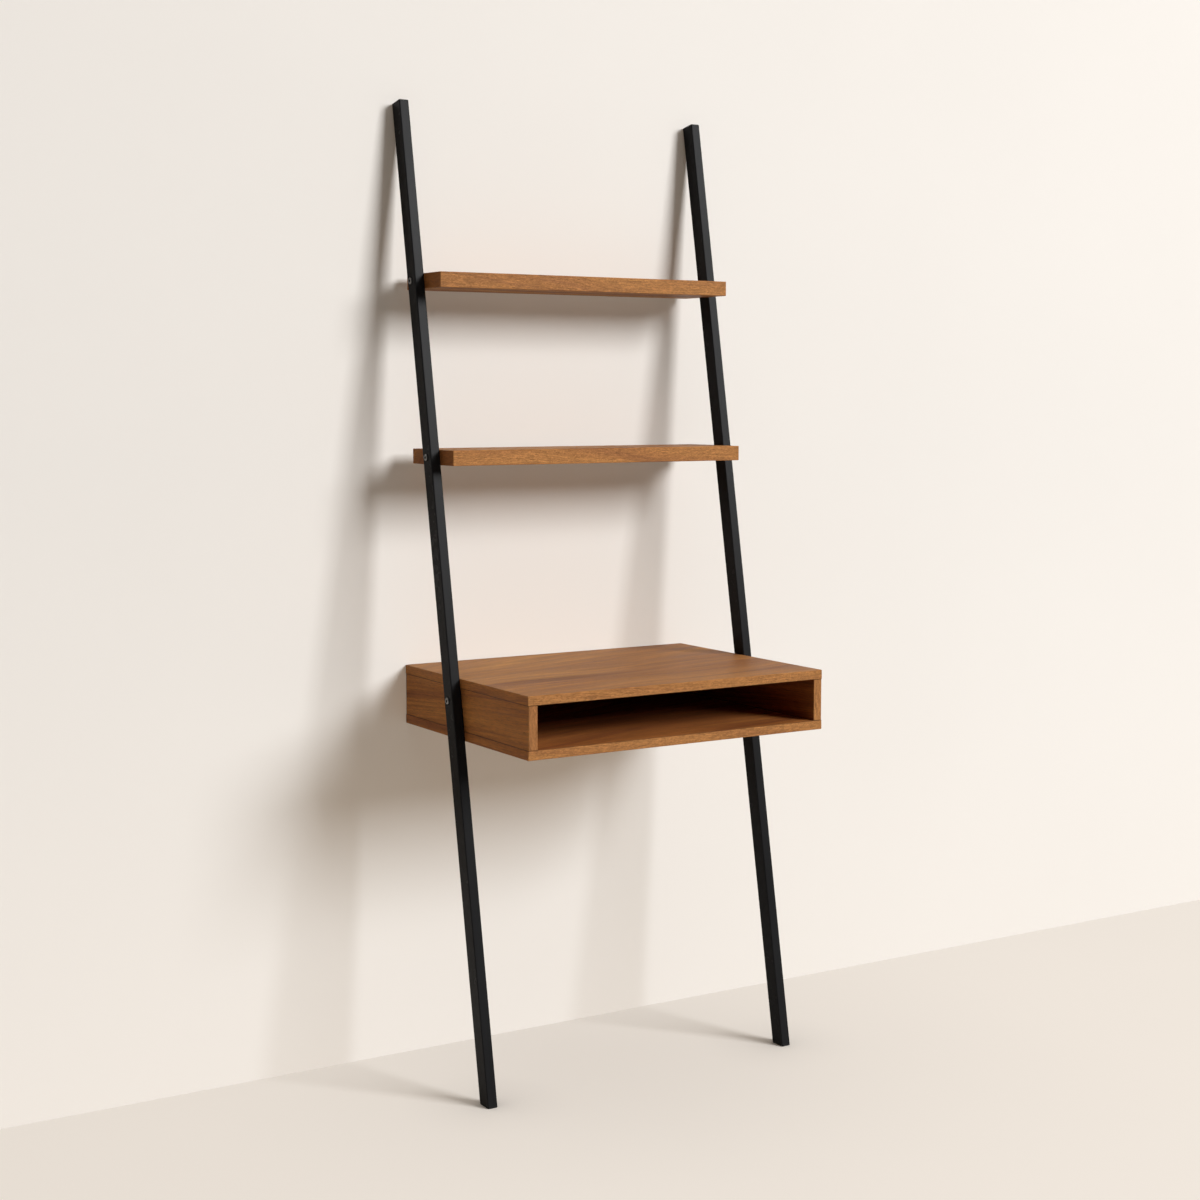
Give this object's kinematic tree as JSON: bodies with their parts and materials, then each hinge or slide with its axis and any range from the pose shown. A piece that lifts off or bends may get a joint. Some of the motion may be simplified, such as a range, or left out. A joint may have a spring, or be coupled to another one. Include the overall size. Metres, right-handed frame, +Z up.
{
  "type": "ladder desk",
  "caption": "Leaning desk: two sloping tube rails carry two shelves and a box desk with an open front.",
  "frame": {"origin": "on the floor, in the middle of the desk's width and depth; the wall is the plane y = +0.235 m", "axes": "+X along the boards to the right, +Y towards the wall, +Z up"},
  "size_m": [0.6704, 0.47, 1.7999],
  "materials": {
    "rail_steel": "matt black powder coat",
    "walnut": "satin walnut",
    "black_plastic": "moulded, fine texture",
    "bolt_steel": "nickel plated, satin",
    "zinc_steel": "zinc plated",
    "dowel_wood": "raw beech"
  },
  "bodies": {
    "root": {"left_rail": "rail_steel", "left_top_cap": "black_plastic", "left_foot": "black_plastic", "right_rail": "rail_steel", "right_top_cap": "black_plastic", "right_foot": "black_plastic", "upper_shelf": "walnut", "middle_shelf": "walnut", "desk_top": "walnut", "desk_bottom": "walnut", "desk_left_side": "walnut", "desk_right_side": "walnut", "desk_back": "walnut", "left_upper_bolt": "bolt_steel", "left_upper_sleeve": "zinc_steel", "left_upper_insert": "zinc_steel", "left_upper_pin": "zinc_steel", "left_middle_bolt": "bolt_steel", "left_middle_sleeve": "zinc_steel", "left_middle_insert": "zinc_steel", "left_middle_pin": "zinc_steel", "left_desk_bolt": "bolt_steel", "left_desk_sleeve": "zinc_steel", "left_desk_insert": "zinc_steel", "left_desk_pin": "zinc_steel", "right_upper_bolt": "bolt_steel", "right_upper_sleeve": "zinc_steel", "right_upper_insert": "zinc_steel", "right_upper_pin": "zinc_steel", "right_middle_bolt": "bolt_steel", "right_middle_sleeve": "zinc_steel", "right_middle_insert": "zinc_steel", "right_middle_pin": "zinc_steel", "right_desk_bolt": "bolt_steel", "right_desk_sleeve": "zinc_steel", "right_desk_insert": "zinc_steel", "right_desk_pin": "zinc_steel", "desk_top_dowels": "dowel_wood", "desk_bottom_dowels": "dowel_wood", "desk_back_dowels": "dowel_wood"}
  },
  "joints": []
}
